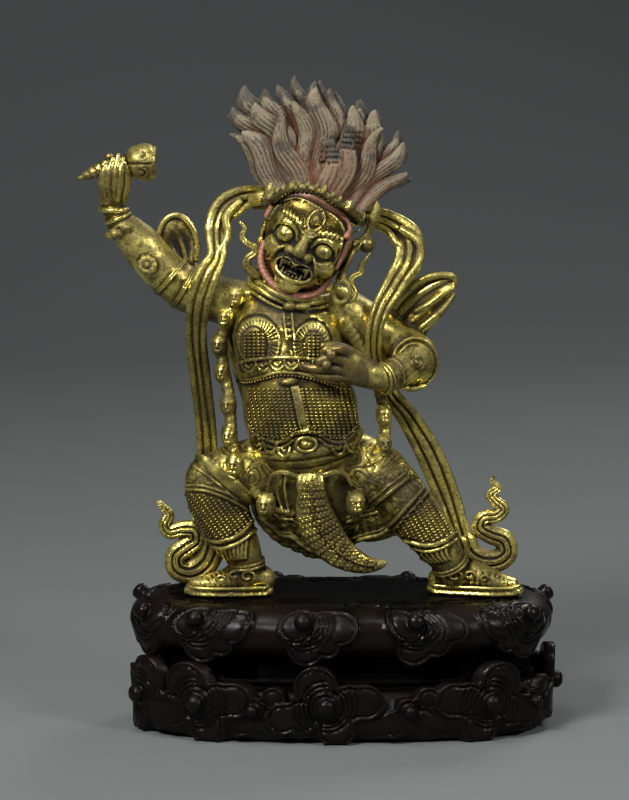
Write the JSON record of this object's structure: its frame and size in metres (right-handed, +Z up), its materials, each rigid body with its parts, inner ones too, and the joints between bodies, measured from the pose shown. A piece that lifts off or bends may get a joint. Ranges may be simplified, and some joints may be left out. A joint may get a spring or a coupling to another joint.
{
  "type": "statue",
  "caption": "Gilt-bronze statue of a striding armoured guardian with one arm raised, upswept hair and a floating scarf, on an oval carved hardwood cloud stand.",
  "frame": {"origin": "under the middle of the whole work's extents, on the surface that the stand rests on", "axes": "+Z up through the figure, -Y towards the front, +X to the viewer's right"},
  "size_m": [0.1747, 0.0866, 0.2356],
  "materials": {
    "gilt_bronze": "worn gilding, semi-gloss, dark patina in the hollows",
    "dark_hardwood": "polished, glossy"
  },
  "bodies": {
    "root": {"begtse_figure": "gilt_bronze", "cloud_stand": "dark_hardwood"}
  },
  "joints": []
}
